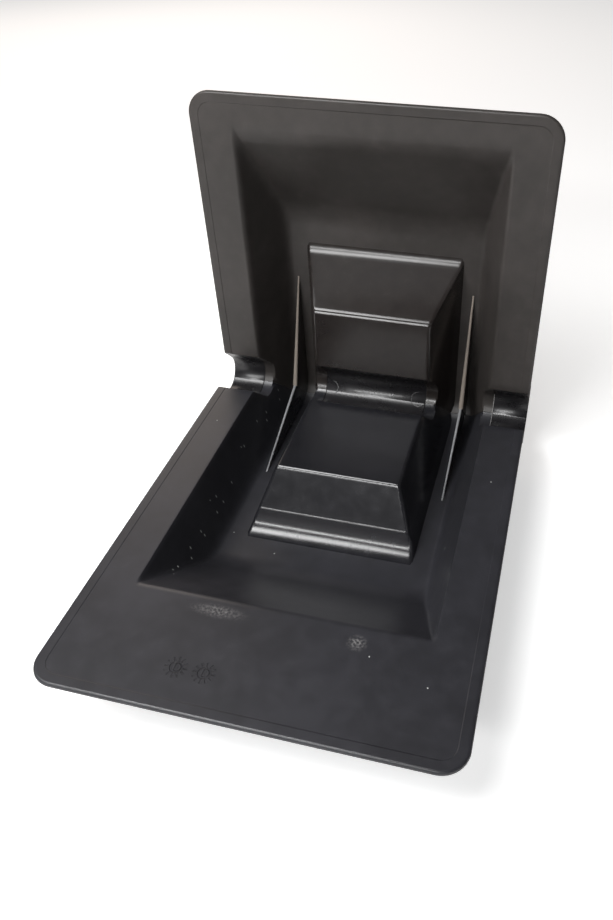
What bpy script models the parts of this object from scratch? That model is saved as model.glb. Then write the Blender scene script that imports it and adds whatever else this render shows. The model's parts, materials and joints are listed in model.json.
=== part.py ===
"""Folding sluice box: a base tray and a header panel, hinged at a rolled corner.

Both halves are drawn in the same half frame, measured from the hinge axis: x runs across the box, u runs
along the half's flange away from the hinge, and d runs down into the recess from the flange's face. The
base lies flat (u towards the front, d down), and the header stands up (u up, d towards the back). The two
halves part on the 45 degree plane u + d = 0, where the header rests when the box is open.
"""

import math

import bmesh
import bpy
from mathutils import Vector

# Overall sizes, in metres.
WIDTH = 0.250
BASE_LENGTH = 0.304
HEADER_LENGTH = 0.2275
CORNER_RADIUS = 0.0165

# Walls and fits.
FLANGE_THICKNESS = 0.004
WALL = 0.003
GAP = 0.0003
PARTING_GAP = 0.0002

# Recess of either half.
RECESS_DEPTH = 0.045
RECESS_HALF_TOP = 0.094
RECESS_HALF_FLOOR = 0.078
BASE_RECESS_END = 0.226
BASE_FLOOR_END = 0.161
HEADER_RECESS_END = 0.2008
HEADER_FLOOR_END = 0.130
CORNER_COVE = 0.020

# Riffle blocks: each is a hollow boss whose sides spread towards the floor.
BLOCK_HALF_TOP = 0.046
BLOCK_HALF_FLOOR = 0.0625
BASE_RIDGE = 0.102
BASE_CREASE = (0.1195, 0.0290)
BASE_FOOT = 0.1368
BASE_BEVEL = (0.0012, 0.0018)
HEADER_RIDGE = 0.0705
HEADER_CREASE = (0.0965, 0.0400)
HEADER_FOOT = 0.1068
HEADER_BEVEL = (0.0030, 0.0035)
BLOCK_SEAT = 0.0055

# Corner ribs.
RIB_X = 0.0713
RIB_THICKNESS = 0.0024
RIB_KNEE = 0.0150
RIB_OVERRUN = 0.0015
BASE_RIB_END = 0.0640
HEADER_RIB_END = 0.0735

# Rolled corner: a round-bottomed channel along the hinge, half in each half.
CHANNEL_RADIUS = 0.01415
CHANNEL_DEPTH = 0.0034
RIM_CHAMFER = 0.0006
CURL_WALL = 0.00295
CURL_END_DEG = -97.0
CURL_TOP_DEG = 61.0
TROUGH_CLEARANCE = 0.0004
TROUGH_END_DEG = 40.0
TROUGH_FOOT_DEG = -115.0
KNUCKLE_INNER_HALF = 0.0422

ARC_STEPS = 10
FAR = 0.120

# The hinge axis stands above the ground by the base's outer depth, and the origin is the box's bottom centre.
HINGE_Z = RECESS_DEPTH + WALL
HINGE_Y = (BASE_LENGTH - RECESS_DEPTH - WALL) / 2

ROOT_HALF = math.sqrt(0.5)
CHANNEL_RIM = CHANNEL_RADIUS / ROOT_HALF
# The curl's back clears the round bottom of the channel by its wall.
CURL_RADIUS = CHANNEL_RADIUS + CHANNEL_DEPTH + CURL_WALL
FLANGE_START = CHANNEL_RIM - RIM_CHAMFER
SIDE_OFFSET = WALL * math.hypot(RECESS_DEPTH, RECESS_HALF_TOP - RECESS_HALF_FLOOR) / RECESS_DEPTH
KNUCKLE_OUTER_START = RECESS_HALF_TOP + SIDE_OFFSET + GAP


def base_point(x, u, d):
    """A half-frame point of the base, measured from the hinge axis."""
    return Vector((x, -u, -d))


def header_point(x, u, d):
    """A half-frame point of the header, measured from the hinge axis."""
    return Vector((x, d, u))


def channel_point(across, along):
    """(u, d) of a point given across and along the corner channel, whose centre line is the 45 degree plane."""
    return (across - along) * ROOT_HALF, (across + along) * ROOT_HALF


def arc(centre, radius, start_deg, end_deg, steps=ARC_STEPS):
    """Points of an arc, both ends included."""
    turns = [math.radians(start_deg + (end_deg - start_deg) * i / steps) for i in range(steps + 1)]
    return [(centre[0] + radius * math.cos(t), centre[1] + radius * math.sin(t)) for t in turns]


def recess_half_width(d):
    """Half the recess's width at depth d: its side walls are planes."""
    return RECESS_HALF_TOP - (RECESS_HALF_TOP - RECESS_HALF_FLOOR) * d / RECESS_DEPTH


def block_half_width(d):
    """Half the riffle block's width at depth d: its sides are planes that spread downwards."""
    return BLOCK_HALF_TOP + (BLOCK_HALF_FLOOR - BLOCK_HALF_TOP) * d / RECESS_DEPTH


# Objects


def clear_scene():
    """Removes every object of the startup scene."""
    for obj in list(bpy.data.objects):
        bpy.data.objects.remove(obj)


def new_empty(name, location):
    """An empty that carries one half of the box."""
    empty = bpy.data.objects.new(name, None)
    empty.empty_display_size = 0.03
    empty.location = location
    bpy.context.collection.objects.link(empty)
    return empty


def new_object(name, bm, parent):
    """A mesh object with outward faces, under its half's empty."""
    bmesh.ops.recalc_face_normals(bm, faces=bm.faces)
    mesh = bpy.data.meshes.new(name)
    bm.to_mesh(mesh)
    bm.free()
    obj = bpy.data.objects.new(name, mesh)
    obj.parent = parent
    bpy.context.collection.objects.link(obj)
    return obj


def sweep(name, outline, low, high, point, parent):
    """The solid over an outline in (u, d), between the planes x = low(d) and x = high(d)."""
    bm = bmesh.new()
    near = [bm.verts.new(point(low(d), u, d)) for u, d in outline]
    far = [bm.verts.new(point(high(d), u, d)) for u, d in outline]
    bm.faces.new(near)
    bm.faces.new(far)
    for i in range(len(outline)):
        j = (i + 1) % len(outline)
        bm.faces.new((near[i], near[j], far[j], far[i]))
    return new_object(name, bm, parent)


def bar(name, outline, low, high, point, parent):
    """The solid over an outline in (u, d), between two upright planes."""
    return sweep(name, outline, lambda d: low, lambda d: high, point, parent)


def helper(obj):
    """Marks an object as a cutter, left out of the finished box."""
    obj.hide_render = True
    obj.display_type = "WIRE"
    return obj


def combine(target, other, operation):
    """Adds a live Boolean of the target with a helper object."""
    modifier = target.modifiers.new(other.name, "BOOLEAN")
    modifier.operation = operation
    modifier.solver = "EXACT"
    modifier.object = helper(other)


def dress(obj, colour, roughness):
    """Gives a piece its own moulded plastic, shaded smooth up to its sharp edges."""
    material = bpy.data.materials.new(obj.name)
    material.use_nodes = True
    shader = material.node_tree.nodes["Principled BSDF"]
    shader.inputs["Base Color"].default_value = (*colour, 1.0)
    shader.inputs["Roughness"].default_value = roughness
    shader.inputs["Metallic"].default_value = 0.0
    obj.data.materials.append(material)
    obj.data.shade_smooth()
    obj.data.set_sharp_from_angle(angle=math.radians(30))


# Outlines in (u, d)


def recess_outline(end_top, end_floor, grow):
    """Side view of the recess, or of its outer skin when grow is the wall: slope, floor and coved corner."""
    slope_length = math.hypot(end_top - end_floor, RECESS_DEPTH)
    run = (end_top - end_floor) / RECESS_DEPTH
    shift = grow * slope_length / RECESS_DEPTH
    depth = RECESS_DEPTH + grow
    top = FLANGE_THICKNESS / 2 if grow else -FLANGE_THICKNESS
    cove_centre = (CORNER_COVE - RECESS_DEPTH, RECESS_DEPTH - CORNER_COVE)
    cove = arc(cove_centre, CORNER_COVE + grow, 90, 180)
    return [(end_top + shift - run * top, top), (end_top + shift - run * depth, depth), *cove, (cove[-1][0], top)]


def channel_outline(radius, open_end):
    """The corner channel's inside, or its outer skin, out to where it opens towards the user."""
    bottom = [(radius * math.cos(math.radians(a)), CHANNEL_DEPTH + radius * math.sin(math.radians(a)))
              for a in range(0, 181, 10)]
    rim = [(-radius, -open_end), (radius, -open_end)]
    return [channel_point(across, along) for across, along in bottom + rim]


def parting_outline():
    """Everything past the 45 degree parting plane, less half the parting gap."""
    reach = PARTING_GAP / ROOT_HALF
    return [(-FAR, FAR + reach), (FAR, reach - FAR), (-FAR, -FAR)]


def block_outline(ridge, bevel, crease, foot):
    """Side view of a riffle block: flat top, bevelled ridge, steep face, coved toe and seat on the floor."""
    seat = RECESS_DEPTH - GAP
    drop = seat - crease[1]
    run = foot - crease[0]
    radius = (run * run + drop * drop) / (2 * drop)
    start = math.degrees(math.atan2(crease[1] - (seat - radius), -run))
    toe = arc((foot, seat - radius), radius, start, 90, 6)
    cove_centre = (CORNER_COVE - RECESS_DEPTH, RECESS_DEPTH - CORNER_COVE)
    rear = arc(cove_centre, CORNER_COVE - GAP, 90, 170)
    return [(ridge - bevel[0], 0), (ridge + bevel[0] / 2, bevel[1]), *toe, *rear, (rear[-1][0], 0)]


def hollow_outline(ridge, crease):
    """Side view of the hollow under a riffle block, open below."""
    face = math.hypot(crease[0] - ridge, crease[1])
    back = WALL * face / crease[1]
    slope = (crease[0] - ridge) / crease[1]
    below = RECESS_DEPTH + 3 * WALL
    front = crease[0] - back
    return [(ridge - back + slope * WALL, WALL), (front, crease[1]), (front, below), (-below, below), (-below, WALL)]


def rib_outline(end):
    """Side view of a corner rib: a triangle from the floor to its knee on the parting plane."""
    seat = RECESS_DEPTH - GAP
    cove_centre = (CORNER_COVE - RECESS_DEPTH, RECESS_DEPTH - CORNER_COVE)
    rear = arc(cove_centre, CORNER_COVE - GAP, 90, 170)
    return [(end, seat), *rear, (-RIB_KNEE - 2 * RIB_OVERRUN, RIB_KNEE + RIB_OVERRUN), (-RIB_KNEE, RIB_KNEE)]


def curl_outline():
    """Side view of the header's curl: flat joint to the flange, channel wall, and a round back on the hinge axis."""
    centre = (CHANNEL_DEPTH * ROOT_HALF, -CHANNEL_DEPTH * ROOT_HALF)
    edge = FLANGE_START - GAP
    inner = arc(centre, CHANNEL_RADIUS, 45, CURL_END_DEG, 16)
    back = arc((0, 0), CURL_RADIUS, CURL_END_DEG, CURL_TOP_DEG, 20)
    return [(CHANNEL_RIM - edge, edge), *inner, *back, (FLANGE_THICKNESS, edge)]


def trough_outline():
    """Side view of the base's trough: channel wall up to the curl's free edge, then a snap-over C round the curl."""
    centre = (CHANNEL_DEPTH * ROOT_HALF, -CHANNEL_DEPTH * ROOT_HALF)
    edge = FLANGE_START - GAP
    inner_end = CURL_END_DEG - math.degrees(2.5 * GAP / CHANNEL_RADIUS)
    inner = arc(centre, CHANNEL_RADIUS, -135, inner_end, 5)
    bore = CURL_RADIUS + TROUGH_CLEARANCE
    bore_start = CURL_END_DEG - math.degrees(2.5 * GAP / bore)
    cradle = arc((0, 0), bore, bore_start, TROUGH_END_DEG, 18)
    back = arc((0, 0), bore + WALL, TROUGH_END_DEG, TROUGH_FOOT_DEG, 20)
    heel = (back[-1][0], -edge - FLANGE_THICKNESS - back[-1][0] + GAP)
    return [(-edge, edge - CHANNEL_RIM), *inner, *cradle, *back, heel, (-edge, -FLANGE_THICKNESS)]


# Pieces


def flange(name, length, point, parent):
    """The flat flange, from the hinge channel's lip to a far edge with round corners."""
    half = WIDTH / 2
    near = FLANGE_START
    inset = half - CORNER_RADIUS
    right = arc((inset, length - CORNER_RADIUS), CORNER_RADIUS, 0, 90)
    left = arc((-inset, length - CORNER_RADIUS), CORNER_RADIUS, 90, 180)
    rim = [(half, near), *right, *left, (-half, near)]
    bm = bmesh.new()
    top = [bm.verts.new(point(x, u, 0)) for x, u in rim]
    bottom = [bm.verts.new(point(x, u, FLANGE_THICKNESS)) for x, u in rim]
    bm.faces.new(top)
    bm.faces.new(bottom)
    for i in range(len(rim)):
        j = (i + 1) % len(rim)
        bm.faces.new((top[i], top[j], bottom[j], bottom[i]))
    return new_object(name, bm, parent)


def shell(name, length, end_top, end_floor, block_foot, point, parent):
    """One half's moulding: flange, thin-walled recess, channel ends, and the opening under its riffle block."""
    body = flange(name, length, point, parent)
    outer_half = RECESS_HALF_TOP + SIDE_OFFSET
    tub = sweep(name + "_tub", recess_outline(end_top, end_floor, WALL),
                lambda d: -recess_half_width(d) - SIDE_OFFSET, lambda d: recess_half_width(d) + SIDE_OFFSET,
                point, parent)
    combine(body, tub, "UNION")
    skin = channel_outline(CHANNEL_RADIUS + WALL, CHANNEL_RADIUS - FLANGE_THICKNESS / 4)
    for side in (-1, 1):
        low, high = sorted((side * RECESS_HALF_FLOOR, side * outer_half))
        combine(body, bar(f"{name}_channel_{side}", skin, low, high, point, parent), "UNION")
    cavity = sweep(name + "_cavity", recess_outline(end_top, end_floor, 0),
                   lambda d: -recess_half_width(d), lambda d: recess_half_width(d), point, parent)
    channel = bar(name + "_channel", channel_outline(CHANNEL_RADIUS, FAR / 2), -WIDTH, WIDTH, point, parent)
    parting = bar(name + "_parting", parting_outline(), -WIDTH, WIDTH, point, parent)
    seat_half = BLOCK_HALF_FLOOR - BLOCK_SEAT
    seat_end = block_foot - 2 * BLOCK_SEAT
    window_outline = [(-FAR, RECESS_DEPTH / 2), (seat_end, RECESS_DEPTH / 2), (seat_end, FAR), (-FAR, FAR)]
    window = bar(name + "_window", window_outline, -seat_half, seat_half, point, parent)
    for cutter in (cavity, channel, parting, window):
        combine(body, cutter, "DIFFERENCE")
    return body


def riffle_block(name, ridge, bevel, crease, foot, point, parent):
    """One riffle block: a hollow boss, open below, slotted at the corner for the centre hinge knuckle."""
    block = sweep(name, block_outline(ridge, bevel, crease, foot),
                  lambda d: -block_half_width(d), block_half_width, point, parent)
    side_wall = WALL * math.hypot(RECESS_DEPTH, BLOCK_HALF_FLOOR - BLOCK_HALF_TOP) / RECESS_DEPTH
    hollow = sweep(name + "_hollow", hollow_outline(ridge, crease),
                   lambda d: side_wall - block_half_width(d), lambda d: block_half_width(d) - side_wall,
                   point, parent)
    slot_half = KNUCKLE_INNER_HALF + GAP
    skin = channel_outline(CHANNEL_RADIUS + WALL, CHANNEL_RADIUS + WALL)
    for side in (-1, 1):
        low, high = sorted((side * slot_half, side * (BLOCK_HALF_FLOOR + WALL)))
        combine(hollow, bar(f"{name}_cheek_{side}", skin, low, high, point, parent), "DIFFERENCE")
    slot_floor = RECESS_DEPTH - WALL
    slot_outline = [(-FAR, -WALL), (FLANGE_START, -WALL), (FLANGE_START, slot_floor), (-FAR, slot_floor)]
    slot = bar(name + "_slot", slot_outline, -slot_half, slot_half, point, parent)
    channel = bar(name + "_channel", channel_outline(CHANNEL_RADIUS, FAR / 2), -WIDTH, WIDTH, point, parent)
    parting = bar(name + "_parting", parting_outline(), -WIDTH, WIDTH, point, parent)
    for cutter in (hollow, slot, channel, parting):
        combine(block, cutter, "DIFFERENCE")
    return block


def ribs(half_name, end, point, parent):
    """The pair of corner ribs of one half."""
    made = []
    for side, side_name in ((-1, "left"), (1, "right")):
        low = side * RIB_X - RIB_THICKNESS / 2
        name = f"{half_name}_rib_{side_name}"
        rib = bar(name, rib_outline(end), low, low + RIB_THICKNESS, point, parent)
        parting = bar(name + "_parting", parting_outline(), -WIDTH, WIDTH, point, parent)
        combine(rib, parting, "DIFFERENCE")
        made.append(rib)
    return made


def knuckles(prefix, outline, parent):
    """Three lengths of a hinge profile: one at each flange and one through the riffle blocks."""

    def hinge_point(x, y, z):
        return Vector((x, y, z))

    half = WIDTH / 2
    spans = {
        "left": (-half, -KNUCKLE_OUTER_START),
        "centre": (-KNUCKLE_INNER_HALF, KNUCKLE_INNER_HALF),
        "right": (KNUCKLE_OUTER_START, half),
    }
    return [bar(f"{prefix}_{place}", outline, low, high, hinge_point, parent)
            for place, (low, high) in spans.items()]


def main():
    """Builds both halves about the hinge axis."""
    clear_scene()
    hinge = Vector((0, HINGE_Y, HINGE_Z))
    base = new_empty("base_frame", hinge)
    header = new_empty("header_hinge", hinge)
    black = (0.018, 0.018, 0.021)
    pieces = [
        shell("base_tray", BASE_LENGTH, BASE_RECESS_END, BASE_FLOOR_END, BASE_FOOT, base_point, base),
        riffle_block("base_riffle_block", BASE_RIDGE, BASE_BEVEL, BASE_CREASE, BASE_FOOT, base_point, base),
        *ribs("base", BASE_RIB_END, base_point, base),
        *knuckles("hinge_trough", trough_outline(), base),
        shell("header_panel", HEADER_LENGTH, HEADER_RECESS_END, HEADER_FLOOR_END, HEADER_FOOT,
              header_point, header),
        riffle_block("header_riffle_block", HEADER_RIDGE, HEADER_BEVEL, HEADER_CREASE, HEADER_FOOT,
                     header_point, header),
        *ribs("header", HEADER_RIB_END, header_point, header),
        *knuckles("hinge_curl", curl_outline(), header),
    ]
    for piece in pieces:
        dress(piece, black, 0.38)


main()
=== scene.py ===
"""Looks of a folding sluice box: moulded black plastic shells, riffle blocks, ribs and a rolled hinge corner.

Every moulded surface is worked out in the half frame of its own half: x across the box, u along the half's
flange away from the hinge axis, and d down into the recess from the flange's face. Sizes are in metres.
"""

import json
import logging
import math
from dataclasses import dataclass, field
from enum import Enum
from typing import Callable, Optional

import bpy
import numpy as np
from mathutils import Matrix, Vector

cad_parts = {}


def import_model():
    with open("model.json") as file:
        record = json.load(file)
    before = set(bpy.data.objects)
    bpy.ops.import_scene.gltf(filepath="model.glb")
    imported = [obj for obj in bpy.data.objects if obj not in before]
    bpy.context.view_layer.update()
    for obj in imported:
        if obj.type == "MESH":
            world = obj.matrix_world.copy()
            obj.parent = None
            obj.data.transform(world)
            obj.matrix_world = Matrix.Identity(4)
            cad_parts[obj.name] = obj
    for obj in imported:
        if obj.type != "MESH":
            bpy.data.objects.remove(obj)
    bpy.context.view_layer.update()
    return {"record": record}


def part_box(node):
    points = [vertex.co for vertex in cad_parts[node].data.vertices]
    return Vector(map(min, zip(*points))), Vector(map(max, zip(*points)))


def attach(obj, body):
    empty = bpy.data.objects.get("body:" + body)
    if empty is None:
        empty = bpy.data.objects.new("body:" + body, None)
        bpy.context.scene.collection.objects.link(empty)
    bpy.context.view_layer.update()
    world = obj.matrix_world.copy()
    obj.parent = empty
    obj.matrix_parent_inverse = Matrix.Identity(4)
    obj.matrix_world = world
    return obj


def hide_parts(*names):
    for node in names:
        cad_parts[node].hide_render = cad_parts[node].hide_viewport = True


LOG = logging.getLogger("sluice_box")
Array = np.ndarray
MM = 0.001
WHITENED = "#8d8b8a"
GRIT = "#d8dcd8"
# A ridge's bevel, as shares of its run and of its fall: a slope, a nearly level step and a slope.
BEVEL_RUNS = (0.0, 0.35, 0.65, 1.0)
BEVEL_FALLS = (0.0, 0.45, 0.55, 1.0)


class Half(Enum):
    """Which half of the box a surface belongs to."""

    BASE = "base"
    HEADER = "header"


# Shared surface formulas


def soft_max(a: Array, b: Array, radius: float) -> Array:
    """The larger of two depths, with the corner between them rounded over a length of about radius.

    Args:
        a: First depths.
        b: Second depths.
        radius: How far the rounding reaches, in metres.

    Returns:
        max(a, b) plus a quarter parabola where the two are closer than radius.
    """
    near = np.maximum(radius - np.abs(a - b), 0.0) / radius
    return np.maximum(a, b) + near * near * radius / 4


def soft_min(a: Array, b: Array, radius: float) -> Array:
    """The smaller of two depths, rounded as soft_max is."""
    return -soft_max(-a, -b, radius)


def spread(*stops: tuple[float, float]) -> Array:
    """Grid lines between stops, each stretch cut into equal steps.

    Args:
        stops: Pairs of a position and the step used from there to the next stop.

    Returns:
        The positions of all grid lines, rising.
    """
    lines: list[Array] = []
    for (start, step), (end, _) in zip(stops, stops[1:]):
        count = max(1, round((end - start) / step))
        lines.append(np.linspace(start, end, count, endpoint=False))
    return np.concatenate([*lines, [stops[-1][0]]])


def both_sides(lines: Array) -> Array:
    """Mirrors the positive grid lines about 0 and keeps one line at 0."""
    positive = lines[lines > 1e-9]
    return np.concatenate([-positive[::-1], [0.0], positive])


def new_mesh(name: str, points: Array, faces: Array, smooth_deg: float = 34.0) -> bpy.types.Object:
    """Puts a mesh of quads and triangles into the scene, with outward faces.

    Args:
        name: The piece's name.
        points: World points, one row each.
        faces: Rows of four point numbers; a row whose last two agree is a triangle.
        smooth_deg: Edges sharper than this stay sharp.

    Returns:
        The new object, at the origin.
    """
    mesh = bpy.data.meshes.new(name)
    corners = [list(dict.fromkeys(row)) for row in faces.tolist()]
    mesh.from_pydata(points.tolist(), [], [row for row in corners if len(row) > 2])
    mesh.validate()
    mesh.update()
    obj = bpy.data.objects.new(name, mesh)
    bpy.context.scene.collection.objects.link(obj)
    turn_outwards(mesh)
    mesh.shade_smooth()
    mesh.set_sharp_from_angle(angle=math.radians(smooth_deg))
    return obj


def turn_outwards(mesh: bpy.types.Mesh) -> None:
    """Turns every face round if the closed mesh's signed volume is negative."""
    mesh.calc_loop_triangles()
    points = np.empty(len(mesh.vertices) * 3)
    mesh.vertices.foreach_get("co", points)
    points = points.reshape(-1, 3)
    corners = np.empty(len(mesh.loop_triangles) * 3, np.int32)
    mesh.loop_triangles.foreach_get("vertices", corners)
    triangles = points[corners.reshape(-1, 3)]
    if np.einsum("ij,ij->i", triangles[:, 0], np.cross(triangles[:, 1], triangles[:, 2])).sum() < 0:
        mesh.flip_normals()


def set_attribute(obj: bpy.types.Object, name: str, values: Array) -> None:
    """Stores one number for each point, for a material to read."""
    layer = obj.data.attributes.new(name, "FLOAT", "POINT")
    layer.data.foreach_set("value", values.astype(np.float32))


def two_skins(top: Array, bottom: Array, keep: Array) -> tuple[Array, Array]:
    """Closes a top and a bottom grid of the same size into one solid.

    Cells that keep says are left out of both skins, and each edge that only one kept cell has gets a wall
    between the skins.

    Args:
        top: Points of the upper skin, rows by columns by 3.
        bottom: Points of the lower skin, the same shape.
        keep: One flag for each cell, one fewer each way than the points.

    Returns:
        Points and quads of the closed shell.
    """
    rows, columns = top.shape[:2]
    number = np.arange(rows * columns).reshape(rows, columns)
    cells = np.stack([number[:-1, :-1], number[:-1, 1:], number[1:, 1:], number[1:, :-1]], axis=-1)[keep]
    starts = cells.reshape(-1)
    ends = np.roll(cells, -1, axis=1).reshape(-1)
    forward = starts.astype(np.int64) * number.size + ends
    backward = ends.astype(np.int64) * number.size + starts
    rim = ~np.isin(forward, backward)
    shift = number.size
    walls = np.stack([ends[rim], starts[rim], starts[rim] + shift, ends[rim] + shift], axis=-1)
    faces = np.concatenate([cells, cells[:, ::-1] + shift, walls])
    used, place = np.unique(faces, return_inverse=True)
    points = np.concatenate([top.reshape(-1, 3), bottom.reshape(-1, 3)])[used]
    return points, place.reshape(faces.shape)


# The box's own sizes, read from the frame


@dataclass
class Corner:
    """The hinge axis and the round-bottomed channel that both halves roll into."""

    axis_y: float
    axis_z: float
    radius: float = 0.01415
    drop: float = 0.0034
    wall: float = 0.003
    chamfer: float = 0.0006
    gap: float = 0.0002

    @property
    def centre(self) -> float:
        """How far the round bottom's centre lies behind the axis, and as far below it."""
        return self.drop * math.sqrt(0.5)

    @property
    def rim(self) -> float:
        """Distance along a flange at which it turns down into the channel."""
        return self.radius * math.sqrt(2)

    def depth(self, u: Array, grow: float) -> Array:
        """Depth of the channel's wall and round bottom at u, or of its outer skin.

        The wall is the line u + d = constant and meets the circle where that circle's slope is 45 degrees.

        Args:
            u: Distances along the flange.
            grow: Wall thickness added to the channel's radius.

        Returns:
            Depths below the flange.
        """
        radius = self.radius + grow
        wall = radius * math.sqrt(2) - u
        from_centre = np.clip(u + self.centre, -radius, radius)
        round_bottom = self.centre + np.sqrt(radius**2 - from_centre**2)
        return np.where(u + self.centre > radius * math.sqrt(0.5), wall, round_bottom)

    def place(self, half: Half, x: Array, u: Array, d: Array) -> Array:
        """World points of half-frame points: the base lies flat and the header stands up."""
        x, u, d = np.broadcast_arrays(x, u, d)
        if half is Half.BASE:
            return np.stack([x, self.axis_y - u, self.axis_z - d], axis=-1)
        return np.stack([x, self.axis_y + d, self.axis_z + u], axis=-1)


def parting_u(depth: Callable[[Array], Array], gap: float, start: float, steps: int = 40) -> Array:
    """Where each column of a surface meets the 45 degree parting plane u + d = gap, found by halving.

    Args:
        depth: Depth of every column at the given u.
        gap: How far short of the plane the surface stops.
        start: A u that lies past the plane in every column.
        steps: How often the span is halved.

    Returns:
        One u for each column.
    """
    low = np.full_like(depth(np.asarray(0.0)), start)
    high = np.zeros_like(low)
    for _ in range(steps):
        middle = (low + high) / 2
        past = middle + depth(middle) < gap
        low = np.where(past, middle, low)
        high = np.where(past, high, middle)
    return high


def rows_from(parting: Array, joint: float, inner_rows: int, outer: Array) -> Array:
    """Grid rows of u for every column: evenly from the parting plane to the joint line, then fixed rows."""
    steps = np.linspace(0.0, 1.0, inner_rows, endpoint=False)[:, None]
    inner = parting[None, :] + steps * (joint - parting[None, :])
    fixed = np.broadcast_to(outer[:, None], (outer.size, parting.size))
    return np.concatenate([inner, fixed])


@dataclass
class TrayShell:
    """One half's moulding: a flange with rounded rim round a thin-walled recess."""

    half: Half
    corner: Corner
    length: float
    recess_end: float
    floor_end: float
    window_end: float
    edge_round: float
    plan_round: float
    width: float = 0.250
    flange: float = 0.004
    corner_radius: float = 0.0165
    recess_depth: float = 0.045
    half_top: float = 0.094
    half_floor: float = 0.078
    cove: float = 0.020
    window_half: float = 0.057
    rim_round: float = 0.0017
    inner_rows: int = 26

    @property
    def side_wall(self) -> float:
        """Width across x of a side wall, whose thickness is measured square to it."""
        rise = self.half_top - self.half_floor
        return self.corner.wall * math.hypot(self.recess_depth, rise) / self.recess_depth

    def recess(self, x: Array, u: Array, grow: float) -> Array:
        """Depth of the recess, or of its outer skin.

        The least of four depths: the side wall's plane, the end slope's plane, the floor, and the round cove
        that turns the floor up to the parting plane. Where they meet they are rounded.

        Args:
            x: Distances across.
            u: Distances along.
            grow: Wall thickness, or 0 for the inside.

        Returns:
            Depths, below 0 outside the recess.
        """
        depth = self.recess_depth
        side_shift = self.side_wall * (grow > 0)
        side = (self.half_top + side_shift - np.abs(x)) * depth / (self.half_top - self.half_floor)
        run = self.recess_end - self.floor_end
        end_shift = grow * math.hypot(run, depth) / depth
        end = (self.recess_end + end_shift - u) * depth / run
        reach = np.clip(u + depth - self.cove, -self.cove - grow, 0.0)
        floor = depth - self.cove + np.sqrt(np.maximum((self.cove + grow) ** 2 - reach**2, 0.0))
        walls = soft_min(side, end, self.plan_round)
        return soft_min(walls, floor, 0.009)

    def rim_distance(self, x: Array, u: Array) -> Array:
        """Distance inside the flange's outline, whose two far corners are round."""
        across = np.abs(x) - (self.width / 2 - self.corner_radius)
        along = u - (self.length - self.corner_radius)
        outside = np.hypot(np.maximum(across, 0), np.maximum(along, 0))
        return self.corner_radius - outside - np.minimum(np.maximum(across, along), 0)

    def rounding(self, distance: Array) -> Array:
        """How far the rim falls away near its edge: a quarter circle of the rim's radius."""
        inside = np.clip(self.rim_round - distance, 0.0, self.rim_round)
        return self.rim_round - np.sqrt(self.rim_round**2 - inside**2)

    def skin(self, x: Array, u: Array, lower: bool) -> Array:
        """Depth of the upper or the lower skin: flange, recess and corner channel, whichever is deepest."""
        grow = self.corner.wall if lower else 0.0
        flat = np.full(np.broadcast(x, u).shape, self.flange if lower else 0.0)
        fall = self.rounding(self.rim_distance(x, u))
        flat = flat + (-fall if lower else fall)
        moulded = soft_max(flat, self.recess(x, u, grow), 0.001 if lower else self.edge_round)
        channel = np.where(u < self.corner.rim + grow, self.corner.depth(u, grow), 0.0)
        return np.maximum(moulded, channel)

    def columns(self) -> Array:
        """Grid lines across x, close together where the side walls bend and at the rim's round corners."""
        edge = self.width / 2 - self.corner_radius
        inner = spread((0.0, 0.0044), (self.window_half, 0.0022), (0.073, 0.0010), (0.081, 0.0016),
                       (0.090, 0.0007), (0.0972, 0.0028), (edge, 1.0))
        turn = np.radians(np.concatenate([np.linspace(8, 72, 9), [77, 81, 84.5, 87, 90]]))
        return both_sides(np.concatenate([inner, edge + self.corner_radius * np.sin(turn)]))

    def rows(self) -> Array:
        """Fixed grid lines along u beyond the joint line."""
        near_rim = self.length - 0.0024
        slope = self.recess_end - self.floor_end
        return spread((self.joint, 0.0032), (self.window_end, 0.0030), (self.floor_end - 0.010, 0.0014),
                      (self.floor_end + 0.010, 0.0030), (self.floor_end + slope - 0.008, 0.0008),
                      (self.recess_end + 0.004, 0.0030), (near_rim, 0.0004), (self.length, 1.0))

    @property
    def joint(self) -> float:
        """Where the flange meets the hinge knuckles."""
        return self.corner.rim - self.corner.chamfer

    def grid(self, lower: bool) -> tuple[Array, Array, Array]:
        """x, u and d of every grid point of one skin."""
        x = self.columns()
        start = parting_u(lambda u: self.skin(x, u, lower), self.corner.gap, -self.recess_depth)
        u = rows_from(start, self.joint, self.inner_rows, self.rows())
        across = np.clip(np.abs(x) - (self.width / 2 - self.corner_radius), 0.0, self.corner_radius)
        far = self.length - self.corner_radius + np.sqrt(self.corner_radius**2 - across**2)
        pivot = self.recess_end + 0.004
        shrink = (far - pivot) / (self.length - pivot)
        u = np.where(u > pivot, pivot + (u - pivot) * shrink, u)
        return x, u, self.skin(x, u, lower)

    def build(self, name: str) -> bpy.types.Object:
        """Builds the shell and stores each point's distance to the rim.

        Args:
            name: The piece's name.

        Returns:
            The shell.
        """
        x, u, d = self.grid(lower=False)
        _, lower_u, lower_d = self.grid(lower=True)
        top = self.corner.place(self.half, x, u, d)
        bottom = self.corner.place(self.half, x, lower_u, lower_d)
        middle = (np.abs(x[:-1]) + np.abs(x[1:])) / 2
        past_joint = (np.arange(u.shape[0] - 1) < self.inner_rows)[:, None]
        row_u = (u[:-1, 0] + u[1:, 0])[:, None] / 2
        outside = past_joint & (middle > 0.0972)[None, :]
        under_block = (middle < self.window_half)[None, :] & (past_joint | (row_u < self.window_end))
        points, faces = two_skins(top, bottom, ~(outside | under_block))
        shell = new_mesh(name, points, faces)
        base = self.half is Half.BASE
        along = self.corner.axis_y - points[:, 1] if base else points[:, 2] - self.corner.axis_z
        set_attribute(shell, "rim_mm", self.rim_distance(points[:, 0], along) / MM)
        return shell


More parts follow.
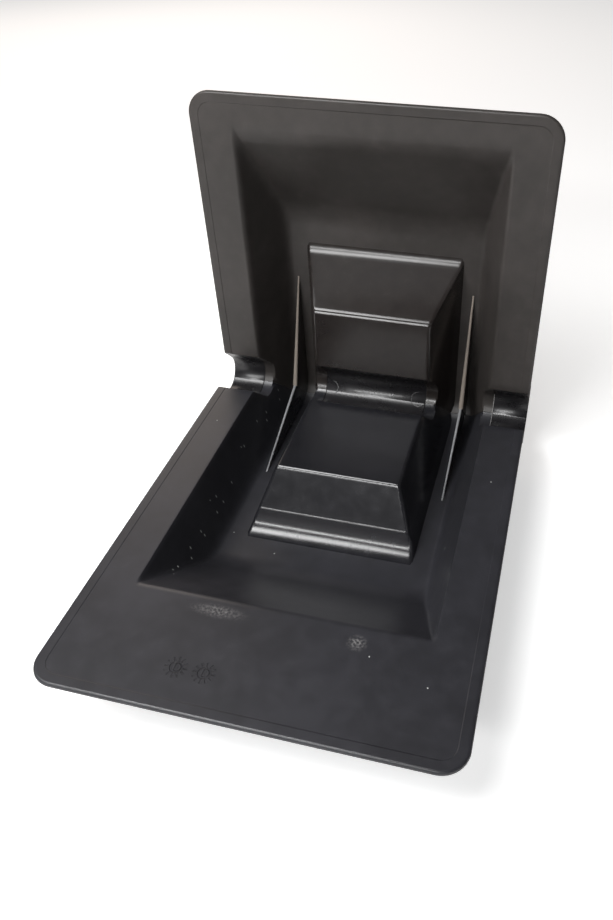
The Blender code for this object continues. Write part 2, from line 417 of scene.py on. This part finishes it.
@dataclass
class RiffleBlock:
    """A hollow boss in the recess: flat top, bevelled ridge, steep face and coved toe."""

    half: Half
    corner: Corner
    ridge: float
    bevel: tuple[float, float]
    crease: tuple[float, float]
    foot: float
    ledge: float
    half_top: float = 0.046
    half_floor: float = 0.0625
    recess_depth: float = 0.045
    cove: float = 0.020
    sink: float = 0.0003
    knuckle_half: float = 0.0425
    inner_rows: int = 22

    @property
    def seat(self) -> float:
        """Depth of the block's lower rim, which is sunk a little into the recess floor."""
        return self.recess_depth + self.sink

    def face(self, u: Array, grow: float) -> Array:
        """Depth of the ridge, steep face and toe at u.

        The toe is an arc that ends level with the floor: its radius is the one that also passes through the
        crease. The steep face and the 45 degree ledge just before the crease are
        straight, and the bevel is two narrow slopes with a nearly level step between them.

        Args:
            u: Distances along.
            grow: Wall thickness, or 0 for the outside.

        Returns:
            Depths below the flange.
        """
        shift = grow * 1.15
        run, drop = self.foot - self.crease[0], self.seat - self.crease[1]
        radius = (run * run + drop * drop) / (2 * drop)
        run_out, fall = self.bevel
        edges = self.ridge - run_out + np.array(BEVEL_RUNS) * run_out * 1.5
        falls = np.array(BEVEL_FALLS) * fall
        lip = self.crease[0] - self.ledge
        stops = np.array([*edges, lip, self.crease[0]]) - shift
        slope = np.interp(u, stops, [*falls, self.crease[1] - self.ledge, self.crease[1]])
        reach = np.clip(self.foot - u, 0.0, radius)
        toe = self.seat - radius + np.sqrt(radius**2 - reach**2)
        beyond = toe if grow == 0 else np.full_like(toe, self.seat)
        return np.where(u > stops[-1], beyond, slope) + grow * (u < stops[-1])

    def skin(self, x: Array, u: Array, lower: bool) -> Array:
        """Depth of the block's outer or inner skin: its top, face, sides and corner channel."""
        grow = self.corner.wall if lower else 0.0
        spread_out = self.half_floor - self.half_top
        side = (np.abs(x) - self.half_top + grow * 1.06) * self.recess_depth / spread_out
        body = soft_max(self.face(u, grow), side, 0.0060)
        body = soft_max(body, np.full_like(body, grow), 0.0008)
        channel = np.where(u < self.corner.rim + grow, self.corner.depth(u, grow), 0.0)
        reach = np.clip(u + self.recess_depth - self.cove, -self.cove, 0.0)
        deepest = self.seat - self.cove + np.sqrt(self.cove**2 - reach**2)
        return np.minimum(np.maximum(body, channel), deepest if lower else deepest - self.sink / 2)

    def build(self, name: str) -> bpy.types.Object:
        """Builds the block.

        Args:
            name: The piece's name.

        Returns:
            The block's shell.
        """
        x = both_sides(spread((0.0, 0.0061), (self.knuckle_half, 0.0012), (self.half_top - 0.0020, 0.0006),
                              (self.half_top + 0.0030, 0.0009), (self.half_floor, 1.0)))
        joint = self.corner.rim - self.corner.chamfer
        fixed = spread((joint, 0.0060), (self.ridge - self.bevel[0] - 0.0012, 0.00035),
                       (self.ridge + 0.0024, 0.0018), (self.crease[0] - 0.0014, 0.0003),
                       (self.crease[0] + 0.0030, 0.0007), (self.foot, 1.0))
        skins = []
        for lower in (False, True):
            start = parting_u(lambda u: self.skin(x, u, lower), self.corner.gap, -self.recess_depth)
            u = rows_from(start, joint, self.inner_rows, fixed)
            skins.append(self.corner.place(self.half, x, u, self.skin(x, u, lower)))
        middle = (np.abs(x[:-1]) + np.abs(x[1:])) / 2
        past_joint = np.arange(skins[0].shape[0] - 1) < self.inner_rows
        knuckle = past_joint[:, None] & (middle < self.knuckle_half)[None, :]
        points, faces = two_skins(skins[0], skins[1], ~knuckle)
        return new_mesh(name, points, faces, 28.0)


@dataclass
class CornerRib:
    """A thin triangular rib from the floor up to its knee on the parting plane."""

    half: Half
    corner: Corner
    x: float
    end: float
    thick: float
    knee: float = 0.0150
    seat: float = 0.0447
    cove: float = 0.0197
    cove_centre: float = 0.025
    thin: float = 0.0013

    def build(self, name: str) -> bpy.types.Object:
        """Builds the rib as a loft from its floor line over its crown and back.

        Each station joins a point of the floor line to a point of the top edge. Across a station the rib is
        a flat sheet with a half-round crown, which thickens towards the knee.

        Args:
            name: The piece's name.

        Returns:
            The rib.
        """
        s = np.linspace(0.0, 1.0, 61)
        top_u = self.end + s * (-self.knee - self.end)
        top_d = self.seat + s * (self.knee - self.seat)
        reach = self.end + self.cove_centre
        path = s * (reach + self.cove * math.radians(45))
        turn = np.clip((path - reach) / self.cove, 0.0, None)
        foot_u = np.where(path < reach, self.end - path, -self.cove_centre - self.cove * np.sin(turn))
        foot_d = np.where(path < reach, self.seat, self.cove_centre + self.cove * np.cos(turn))
        width = self.thin + (self.thick - self.thin) * s
        crown = np.linspace(0.0, math.pi, 9)
        rise = np.concatenate([np.linspace(0.0, 1.0, 6)[:-1], np.ones(9), np.linspace(1.0, 0.0, 6)[1:]])
        across = np.concatenate([-np.ones(5), -np.cos(crown), np.ones(5)])
        lift = np.concatenate([np.zeros(5), np.sin(crown), np.zeros(5)])
        height = np.hypot(foot_u - top_u, foot_d - top_d) + 1e-6
        inset = np.minimum(width / 2, height * 0.9) / height
        share = rise[None, :] * (1 - inset[:, None]) + lift[None, :] * inset[:, None]
        u = foot_u[:, None] + share * (top_u - foot_u)[:, None]
        d = foot_d[:, None] + share * (top_d - foot_d)[:, None]
        x = self.x + across[None, :] * width[:, None] / 2
        points = self.corner.place(self.half, x, u, d)
        rib = new_mesh(name, *closed_loft(points), 50.0)
        set_attribute(rib, "crown", np.broadcast_to(lift, d.shape).reshape(-1))
        return rib


def closed_loft(points: Array) -> tuple[Array, Array]:
    """Closes a loft whose rows are open sections: joins each section's two ends and caps the first and last.

    Args:
        points: Sections by points by 3.

    Returns:
        Points and faces of the solid.
    """
    rows, columns = points.shape[:2]
    number = np.arange(rows * columns).reshape(rows, columns)
    after = np.roll(number, -1, axis=1)
    skin = np.stack([number[:-1], after[:-1], after[1:], number[1:]], axis=-1).reshape(-1, 4)
    caps = []
    for row in (number[0], number[-1]):
        fold = columns // 2
        left, right = row[:fold], row[::-1][:fold]
        caps.append(np.stack([left[:-1], left[1:], right[1:], right[:-1]], axis=-1))
        if columns % 2:
            caps.append(np.array([[left[-1], row[fold], right[-1], right[-1]]]))
    return points.reshape(-1, 3), np.concatenate([skin, *caps])


@dataclass
class HingeKnuckle:
    """A length of the hinge's round profile: the header's curl or the base's snap-over trough."""

    corner: Corner
    low: float
    high: float
    flange: float = 0.004
    curl_radius: float = 0.0205
    clearance: float = 0.0004
    curl_end: float = -97.0
    curl_top: float = 61.0
    trough_end: float = 40.0
    trough_foot: float = -115.0
    gap: float = 0.0003

    @staticmethod
    def arc(centre: float, radius: float, start: float, end: float, count: int) -> Array:
        """Points of an arc about (centre, -centre), angles in degrees."""
        turn = np.radians(np.linspace(start, end, count))
        return np.stack([centre + radius * np.cos(turn), -centre + radius * np.sin(turn)], axis=-1)

    def curl(self) -> tuple[Array, Array]:
        """Inner line and outer line of the curl, matched point to point from its flange to its free edge."""
        edge = self.corner.rim - self.corner.chamfer - self.gap
        inner = np.concatenate([[[self.corner.rim - edge, edge]],
                                self.arc(self.corner.centre, self.corner.radius, 45, self.curl_end, 56)])
        back = self.arc(0.0, self.curl_radius, self.curl_top, self.curl_end, 56)
        return inner, np.concatenate([[[self.flange, edge]], back])

    def trough(self) -> tuple[Array, Array]:
        """Inner line and outer line of the trough, from its flange to the end that snaps over the curl."""
        edge = self.corner.rim - self.corner.chamfer - self.gap
        stop = self.curl_end - math.degrees(2.5 * self.gap / self.corner.radius)
        bore = self.curl_radius + self.clearance
        lip = self.curl_end - math.degrees(2.5 * self.gap / bore)
        inner = np.concatenate([[[-edge, edge - self.corner.rim]],
                                self.arc(self.corner.centre, self.corner.radius, -135, stop, 12),
                                self.arc(0.0, bore, lip, self.trough_end, 50)])
        outer_radius = bore + self.corner.wall
        back = self.arc(0.0, outer_radius, self.trough_foot, self.trough_end, 56)
        heel_y = back[0, 0]
        heel = [heel_y, -edge - self.flange - heel_y + self.gap]
        foot = np.linspace([-edge, -self.flange], heel, 7)
        return inner, np.concatenate([foot, back])

    def build(self, name: str, lines: tuple[Array, Array]) -> bpy.types.Object:
        """Carries a profile between its inner and outer line straight across the box, with eased ends.

        Args:
            name: The piece's name.
            lines: The inner and outer line, with as many points each.

        Returns:
            The knuckle.
        """
        inner, outer = lines
        ease = 0.0005
        stations = [(self.low, ease), (self.low + ease, 0.0), (self.high - ease, 0.0), (self.high, ease)]
        loop = np.concatenate([inner, outer[::-1]])
        count = inner.shape[0]
        partner = np.concatenate([outer, inner[::-1]])
        toward = partner - loop
        toward /= np.linalg.norm(toward, axis=1, keepdims=True)
        rows = []
        for x, pull in stations:
            ring = loop + toward * pull
            rows.append(np.stack([np.full(2 * count, x), self.corner.axis_y + ring[:, 0],
                                  self.corner.axis_z + ring[:, 1]], axis=-1))
        return new_mesh(name, *closed_loft(np.stack(rows)), 40.0)


# Finishes


def linear(code: str) -> tuple[float, float, float, float]:
    """Turns an sRGB hex colour into the linear numbers that shaders take."""
    parts = [int(code[i:i + 2], 16) / 255 for i in (1, 3, 5)]
    red, green, blue = [c / 12.92 if c <= 0.04045 else ((c + 0.055) / 1.055) ** 2.4 for c in parts]
    return red, green, blue, 1.0


def add(tree: bpy.types.NodeTree, kind: str, inputs: Optional[dict] = None,
        **settings: object) -> bpy.types.Node:
    """Adds a node with its settings and links.

    Args:
        tree: The node tree.
        kind: Blender's name for the node.
        inputs: For each input, by name or number, a socket to link from or a value to set.
        settings: The node's own properties.

    Returns:
        The new node.
    """
    node = tree.nodes.new(kind)
    for name, value in settings.items():
        setattr(node, name, value)
    for key, value in (inputs or {}).items():
        if isinstance(value, bpy.types.NodeSocket):
            tree.links.new(value, node.inputs[key])
        else:
            node.inputs[key].default_value = value
    return node


def math_node(tree: bpy.types.NodeTree, operation: str, *values: object,
              clamp: bool = False) -> bpy.types.NodeSocket:
    """The result of one Math node on sockets or numbers."""
    node = add(tree, "ShaderNodeMath", dict(enumerate(values)), operation=operation, use_clamp=clamp)
    return node.outputs[0]


def ramp(tree: bpy.types.NodeTree, value: object, low: float, high: float, start: float = 0.0,
         end: float = 1.0) -> bpy.types.NodeSocket:
    """A smooth step of value, from start at low to end at high."""
    inputs = {"Value": value, "From Min": low, "From Max": high, "To Min": start, "To Max": end}
    return add(tree, "ShaderNodeMapRange", inputs, interpolation_type="SMOOTHSTEP").outputs[0]


def mix(tree: bpy.types.NodeTree, share: object, first: object, second: object) -> bpy.types.NodeSocket:
    """The colour between first and second, by share."""
    return add(tree, "ShaderNodeMix", {0: share, 6: first, 7: second}, data_type="RGBA").outputs[2]


@dataclass(frozen=True)
class Scuff:
    """A rubbed, whitened patch on the flange, as a centre and two half axes."""

    x: float
    y: float
    across: float
    along: float
    strength: float


@dataclass(frozen=True)
class MouldedPolypropylene:
    """Injection moulded black polypropylene: soft sheen, fine grain off the mould, faint flow shading.

    The grain of a spark-eroded mould is about 0.1 mm wide, too fine to show, so it is drawn several times
    coarser. Handling whitens the high spots; the pale colour on a rib's crown is a painted highlight.
    """

    name: str
    colour: str = "#2a2a2e"
    worn: str = "#323237"
    roughness: float = 0.38
    roughness_spread: float = 0.03
    specular: float = 0.65
    grain_mm: float = 0.7
    grain_height_mm: float = 0.009
    wave_mm: float = 0.03
    coat: float = 0.0
    rim_line: bool = False
    wheels: tuple[tuple[float, float], ...] = ()
    scuffs: tuple[Scuff, ...] = ()
    specks_x: tuple[float, ...] = ()
    # crown: pale colour painted along a rib's crown as a painted highlight, or empty for none
    crown: str = ""
    pins: tuple[tuple[float, float, float], ...] = ()

    def material(self) -> bpy.types.Material:
        """Builds the node material.

        Returns:
            The material.
        """
        material = bpy.data.materials.new(self.name)
        material.use_nodes = True
        tree = material.node_tree
        shader = tree.nodes["Principled BSDF"]
        place = add(tree, "ShaderNodeTexCoord").outputs["Object"]
        flow = self.noise(tree, place, 60.0, 3.0)
        cloud = self.noise(tree, place, 9.0, 4.0)
        grain = self.noise(tree, place, self.grain_mm, 2.0)
        rubs = self.rubs(tree, place, cloud)
        specks = self.specks(tree, place)
        shade = math_node(tree, "ADD", math_node(tree, "MULTIPLY", flow, 0.6),
                          math_node(tree, "MULTIPLY", cloud, 0.4))
        tone = mix(tree, ramp(tree, shade, 0.35, 0.68), linear(self.colour), linear(self.worn))
        tone = mix(tree, rubs, tone, linear(WHITENED))
        tone = mix(tree, specks, tone, linear(GRIT))
        # Painted highlight: a pale colour along each rib's crown, broken up a little by flow noise.
        if self.crown:
            edge = add(tree, "ShaderNodeAttribute", attribute_name="crown").outputs["Fac"]
            painted_crown_highlight = math_node(tree, "MULTIPLY", ramp(tree, edge, 0.0, 0.35),
                             ramp(tree, flow, 0.2, 0.5, 0.7, 1.0))
            tone = mix(tree, painted_crown_highlight, tone, linear(self.crown))
        low = self.roughness - self.roughness_spread / 2
        rough = ramp(tree, cloud, 0.3, 0.7, low, low + self.roughness_spread)
        rough = math_node(tree, "ADD", rough, math_node(tree, "MULTIPLY", rubs, 0.25), clamp=True)
        tree.links.new(tone, shader.inputs["Base Color"])
        tree.links.new(rough, shader.inputs["Roughness"])
        shader.inputs["IOR"].default_value = 1.50
        shader.inputs["Specular IOR Level"].default_value = self.specular
        shader.inputs["Coat Weight"].default_value = self.coat
        shader.inputs["Coat Roughness"].default_value = 0.22
        tree.links.new(self.relief(tree, place, grain, flow), shader.inputs["Normal"])
        return material

    @staticmethod
    def noise(tree: bpy.types.NodeTree, place: bpy.types.NodeSocket, size_mm: float,
              detail: float) -> bpy.types.NodeSocket:
        """Noise whose blobs are about size_mm across."""
        inputs = {"Vector": place, "Scale": 1 / (size_mm * MM), "Detail": detail, "Roughness": 0.55}
        return add(tree, "ShaderNodeTexNoise", inputs).outputs["Fac"]

    def rubs(self, tree: bpy.types.NodeTree, place: bpy.types.NodeSocket,
             cloud: bpy.types.NodeSocket) -> bpy.types.NodeSocket:
        """How whitened the surface is: each scuff is an ellipse broken up by noise."""
        total: object = 0.0
        blotch = self.noise(tree, place, 1.6, 3.0)
        for scuff in self.scuffs:
            centred = add(tree, "ShaderNodeMapping", {"Vector": place, "Location": (-scuff.x / scuff.across,
                          -scuff.y / scuff.along, 0.0), "Scale": (1 / scuff.across, 1 / scuff.along, 0.0)})
            length = add(tree, "ShaderNodeVectorMath", {0: centred.outputs[0]}, operation="LENGTH")
            away = length.outputs["Value"]
            patch = math_node(tree, "MULTIPLY", ramp(tree, away, 0.1, 1.0, 1.0, 0.0),
                              ramp(tree, blotch, 0.35, 0.75))
            patch = math_node(tree, "MULTIPLY", patch, scuff.strength)
            total = math_node(tree, "MAXIMUM", total, patch)
        haze = math_node(tree, "MULTIPLY", ramp(tree, cloud, 0.58, 0.80), 0.015)
        return math_node(tree, "MAXIMUM", total, haze)

    def specks(self, tree: bpy.types.NodeTree, place: bpy.types.NodeSocket) -> bpy.types.NodeSocket:
        """Grains of pale grit: dots in a few cells of a plan pattern, more of them along specks_x."""
        if not self.specks_x:
            return add(tree, "ShaderNodeValue").outputs[0]
        cells = add(tree, "ShaderNodeTexVoronoi", {"Vector": place, "Scale": 1 / (6 * MM), "Randomness": 1.0},
                    voronoi_dimensions="2D")
        dot = ramp(tree, cells.outputs["Distance"], 0.03, 0.10, 1.0, 0.0)
        tint = add(tree, "ShaderNodeSeparateColor", {0: cells.outputs["Color"]})
        loose = math_node(tree, "MULTIPLY", dot, math_node(tree, "GREATER_THAN", tint.outputs[0], 0.995))
        split = add(tree, "ShaderNodeSeparateXYZ", {0: place}).outputs
        inside = math_node(tree, "MULTIPLY", math_node(tree, "LESS_THAN", split[2], 0.046),
                           math_node(tree, "GREATER_THAN", split[1], -0.075))
        for line in self.specks_x:
            away = math_node(tree, "ABSOLUTE", math_node(tree, "SUBTRACT", split[0], line))
            row = math_node(tree, "MULTIPLY", math_node(tree, "LESS_THAN", away, 2.4 * MM), inside)
            chosen = math_node(tree, "GREATER_THAN", tint.outputs[1], 0.5)
            here = math_node(tree, "MULTIPLY", dot, math_node(tree, "MULTIPLY", row, chosen))
            loose = math_node(tree, "MAXIMUM", loose, here)
        return math_node(tree, "MULTIPLY", loose, 0.8)

    def relief(self, tree: bpy.types.NodeTree, place: bpy.types.NodeSocket, grain: bpy.types.NodeSocket,
               flow: bpy.types.NodeSocket) -> bpy.types.NodeSocket:
        """The bumped normal: grain, gentle waves, the rim's step, date wheels and pin marks, in metres."""
        height = math_node(tree, "MULTIPLY", grain, self.grain_height_mm * MM)
        height = math_node(tree, "ADD", height, math_node(tree, "MULTIPLY", flow, self.wave_mm * MM))
        if self.rim_line:
            rim = add(tree, "ShaderNodeAttribute", attribute_name="rim_mm").outputs["Fac"]
            step = ramp(tree, rim, 6.6, 7.3, 0.0, -0.28 * MM)
            height = math_node(tree, "ADD", height, step)
        for x, y in self.wheels:
            height = math_node(tree, "ADD", height, self.wheel(tree, place, x, y))
        for x, y, z in self.pins:
            away = add(tree, "ShaderNodeVectorMath", {0: place, 1: (x, y, z)}, operation="DISTANCE")
            off_ring = math_node(tree, "SUBTRACT", away.outputs["Value"], 6.6 * MM)
            ring = ramp(tree, math_node(tree, "ABSOLUTE", off_ring), 0.1 * MM, 0.45 * MM, -0.12 * MM, 0.0)
            height = math_node(tree, "ADD", height, ring)
        return add(tree, "ShaderNodeBump", {"Height": height, "Strength": 1.0, "Distance": 1.0}).outputs[0]

    @staticmethod
    def wheel(tree: bpy.types.NodeTree, place: bpy.types.NodeSocket, x: float,
              y: float) -> bpy.types.NodeSocket:
        """Height of a plain date wheel: a ring groove, twelve ticks and a pointer, with no figures."""
        centred = add(tree, "ShaderNodeVectorMath", {0: place, 1: (x, y, 0.0)}, operation="SUBTRACT")
        split = add(tree, "ShaderNodeSeparateXYZ", {0: centred.outputs[0]})
        px, py = split.outputs[0], split.outputs[1]
        squares = math_node(tree, "ADD", math_node(tree, "MULTIPLY", px, px),
                            math_node(tree, "MULTIPLY", py, py))
        away = math_node(tree, "SQRT", squares)
        angle = math_node(tree, "ARCTAN2", py, px)
        wave = math_node(tree, "COSINE", math_node(tree, "MULTIPLY", angle, 12.0))
        band = math_node(tree, "MULTIPLY", ramp(tree, away, 4.2 * MM, 4.5 * MM),
                         ramp(tree, away, 6.5 * MM, 6.8 * MM, 1.0, 0.0))
        ticks = math_node(tree, "MULTIPLY", ramp(tree, wave, 0.45, 0.80), band)
        ring = ramp(tree, math_node(tree, "ABSOLUTE", math_node(tree, "SUBTRACT", away, 3.3 * MM)), 0.2 * MM,
                    0.6 * MM, 1.0, 0.0)
        bar = math_node(tree, "MULTIPLY",
                        ramp(tree, math_node(tree, "ABSOLUTE", px), 0.5 * MM, 0.8 * MM, 1.0, 0.0),
                        ramp(tree, math_node(tree, "ABSOLUTE", py), 2.2 * MM, 2.5 * MM, 1.0, 0.0))
        deepest = math_node(tree, "MAXIMUM", math_node(tree, "MAXIMUM", ticks, ring), bar)
        return math_node(tree, "MULTIPLY", deepest, -0.9 * MM)


# The box


@dataclass
class SluiceBox:
    """The whole folding box: both halves and the hinge between them."""

    corner: Corner
    plastic: dict[str, bpy.types.Material] = field(default_factory=dict)

    def finish(self, piece: bpy.types.Object, material: str, body: str, node: str) -> None:
        """Dresses a piece, ties it to its body and hides the node it stands for.

        Args:
            piece: The new piece.
            material: Key of its finish.
            body: The body it moves with.
            node: The node that it replaces.
        """
        piece.data.materials.append(self.plastic[material])
        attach(piece, body)
        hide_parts(node)
        LOG.info("%s: %d faces on %s", piece.name, len(piece.data.polygons), body)

    def mix_finishes(self) -> None:
        """Makes the finishes of the mouldings, blocks, ribs and hinge."""
        axis_y, axis_z = self.corner.axis_y, self.corner.axis_z
        pin_y, pin_z = axis_y + 0.0150, axis_z - 0.0110
        kinds = {
            "base": MouldedPolypropylene(
                "polypropylene_base", rim_line=True, wheels=((-0.0440, -0.1490), (-0.0271, -0.1490)),
                scuffs=(Scuff(-0.036, -0.107, 0.022, 0.0060, 0.60),
                        Scuff(0.0508, -0.1097, 0.0075, 0.0070, 0.85)),
                specks_x=(-0.0855,)),
            "header": MouldedPolypropylene("polypropylene_header", colour="#353230", worn="#403c3a",
                                           roughness=0.42, specular=0.45, rim_line=True),
            "block": MouldedPolypropylene("polypropylene_block", colour="#1f1f22", worn="#242428",
                                          roughness=0.22,
                                          grain_height_mm=0.003),
            # The ribs' crown colours are painted highlights along their top edges.
            "base_rib": MouldedPolypropylene("polypropylene_base_rib", roughness=0.28, grain_height_mm=0.002,
                                             wave_mm=0.0, crown="#8f9092"),
            "header_rib": MouldedPolypropylene("polypropylene_header_rib", colour="#2e2a28", worn="#383432",
                                               roughness=0.30, grain_height_mm=0.002, wave_mm=0.0,
                                               crown="#8d847b"),
            "header_block": MouldedPolypropylene("polypropylene_header_block", colour="#252120",
                                                 worn="#2b2725", roughness=0.24, grain_height_mm=0.003,
                                                 specular=0.55),
            "hinge": MouldedPolypropylene(
                "polypropylene_hinge", colour="#1e1d1f", worn="#242325", roughness=0.28,
                grain_height_mm=0.0, wave_mm=0.0,
                pins=((-0.0385, pin_y, pin_z), (0.0365, pin_y, pin_z))),
        }
        self.plastic = {key: kind.material() for key, kind in kinds.items()}

    def build(self) -> None:
        """Builds every piece of both halves."""
        self.mix_finishes()
        corner = self.corner
        base = TrayShell(Half.BASE, corner, 0.304, 0.226, 0.161, 0.1258, 0.0016, 0.006)
        header = TrayShell(Half.HEADER, corner, 0.2275, 0.2008, 0.130, 0.0958, 0.0050, 0.007)
        self.finish(base.build("tray_shell"), "base", "base", "base_tray")
        self.finish(header.build("header_shell"), "header", "header", "header_panel")
        low = RiffleBlock(Half.BASE, corner, 0.102, (0.0012, 0.0018), (0.1195, 0.0290), 0.1368, 0.0010)
        high = RiffleBlock(Half.HEADER, corner, 0.0705, (0.0024, 0.0028), (0.0965, 0.0400), 0.1068, 0.0)
        self.finish(low.build("tray_block"), "block", "base", "base_riffle_block")
        self.finish(high.build("header_block"), "header_block", "header",
                    "header_riffle_block")
        for side, place in ((-1, "left"), (1, "right")):
            for half, end, thick in ((Half.BASE, 0.0640, 0.0022), (Half.HEADER, 0.0735, 0.0038)):
                rib = CornerRib(half, corner, side * 0.0713, end, thick)
                self.finish(rib.build(f"{half.value}_fin_{place}"), f"{half.value}_rib", half.value,
                            f"{half.value}_rib_{place}")
        for place in ("left", "centre", "right"):
            for kind, body in (("curl", "header"), ("trough", "base")):
                lowest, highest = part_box(f"hinge_{kind}_{place}")
                knuckle = HingeKnuckle(corner, lowest[0], highest[0])
                lines = knuckle.curl() if kind == "curl" else knuckle.trough()
                self.finish(knuckle.build(f"{kind}_{place}", lines), "hinge", body,
                            f"hinge_{kind}_{place}")


# Studio


@dataclass(frozen=True)
class Softbox:
    """One large soft lamp, aimed at a point."""

    name: str
    place: tuple[float, float, float]
    target: tuple[float, float, float]
    size: tuple[float, float]
    power: float
    tint: str = "#ffffff"

    def build(self) -> None:
        """Adds the lamp."""
        lamp = bpy.data.lights.new(self.name, "AREA")
        lamp.shape = "RECTANGLE"
        lamp.size, lamp.size_y = self.size
        lamp.energy = self.power
        lamp.color = linear(self.tint)[:3]
        obj = bpy.data.objects.new(self.name, lamp)
        aim = Vector(self.target) - Vector(self.place)
        obj.matrix_world = Matrix.Translation(self.place) @ aim.to_track_quat("-Z", "Y").to_matrix().to_4x4()
        bpy.context.scene.collection.objects.link(obj)


@dataclass
class Studio:
    """Pale floor, pale surroundings, soft lamps and the camera."""

    floor_tint: str = "#f7f7f7"
    camera_place: tuple[float, float, float] = (0.13137, -0.38195, 0.43546)
    right: tuple[float, float, float] = (0.97153, 0.23685, -0.00540)
    up: tuple[float, float, float] = (-0.14575, 0.61549, 0.77455)
    lens: float = 31.55
    shift: tuple[float, float] = (-0.0770, -0.0288)

    def floor(self) -> None:
        """A wide pale floor just under the box."""
        reach = 8.0
        points = np.array([[-reach, -reach, 0], [reach, -reach, 0], [reach, reach, 0], [-reach, reach, 0]])
        mesh = bpy.data.meshes.new("studio_floor")
        mesh.from_pydata((points - [0, 0, 0.0004]).tolist(), [], [[0, 1, 2, 3]])
        obj = bpy.data.objects.new("studio_floor", mesh)
        bpy.context.scene.collection.objects.link(obj)
        material = bpy.data.materials.new("studio_paper")
        material.use_nodes = True
        shader = material.node_tree.nodes["Principled BSDF"]
        shader.inputs["Base Color"].default_value = linear(self.floor_tint)
        shader.inputs["Roughness"].default_value = 0.9
        rays = add(material.node_tree, "ShaderNodeLightPath").outputs["Is Camera Ray"]
        glow = math_node(material.node_tree, "MULTIPLY", rays, 0.60)
        shader.inputs["Emission Color"].default_value = linear(self.floor_tint)
        material.node_tree.links.new(glow, shader.inputs["Emission Strength"])
        mesh.materials.append(material)

    def surroundings(self) -> None:
        """A room that is dark in front and overhead and bright behind, which the camera sees as white."""
        world = bpy.data.worlds.new("studio")
        world.use_nodes = True
        bpy.context.scene.world = world
        tree = world.node_tree
        sky = tree.nodes["Background"]
        sky.inputs["Color"].default_value = linear("#ffffff")
        way = add(tree, "ShaderNodeSeparateXYZ", {0: add(tree, "ShaderNodeTexCoord").outputs["Generated"]})
        behind = ramp(tree, way.outputs[1], -0.1, 0.5, 0.035, 0.09)
        level = math_node(tree, "MULTIPLY", behind, ramp(tree, way.outputs[2], 0.55, 0.95, 1.0, 0.3))
        rays = add(tree, "ShaderNodeLightPath").outputs["Is Camera Ray"]
        tree.links.new(math_node(tree, "MAXIMUM", rays, level), sky.inputs["Strength"])

    def camera(self) -> None:
        """The camera, given by its place and the directions of its frame."""
        lens = bpy.data.cameras.new("camera")
        lens.sensor_width = 36.0
        lens.lens = self.lens
        lens.shift_x, lens.shift_y = self.shift
        lens.clip_start = 0.01
        obj = bpy.data.objects.new("camera", lens)
        right, up = Vector(self.right).normalized(), Vector(self.up).normalized()
        back = right.cross(up)
        turn = Matrix((right, up, back)).transposed().to_4x4()
        obj.matrix_world = Matrix.Translation(self.camera_place) @ turn
        bpy.context.scene.collection.objects.link(obj)
        bpy.context.scene.camera = obj

    def build(self) -> None:
        """Adds everything that isn't the box."""
        self.floor()
        self.surroundings()
        self.camera()
        middle = (0.0, 0.0, 0.05)
        lamps = (
            Softbox("key", (-0.95, -0.35, 1.30), middle, (0.9, 0.9), 5.0),
            Softbox("top", (-0.25, -0.32, 0.75), (0.0, 0.05, 0.1), (0.5, 0.25), 5.2),
            Softbox("window", (-0.35, -1.55, 1.06), (0.0, 0.1, 0.08), (1.3, 0.14), 15.0),
            Softbox("doorway", (-0.85, 1.5, 0.95), middle, (1.2, 1.1), 6.8, "#fff0e4"),
        )
        for lamp in lamps:
            lamp.build()


def main() -> None:
    """Builds the box in its studio and reports each piece."""
    logging.basicConfig(level=logging.INFO, format="%(name)s: %(message)s")
    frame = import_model()
    hinge = frame["record"]["behaviour"]["joints"][0]["pos_m"]
    SluiceBox(Corner(hinge[1], hinge[2])).build()
    Studio().build()
    bpy.context.scene.view_settings.view_transform = "Standard"


if __name__ == "__main__":
    main()
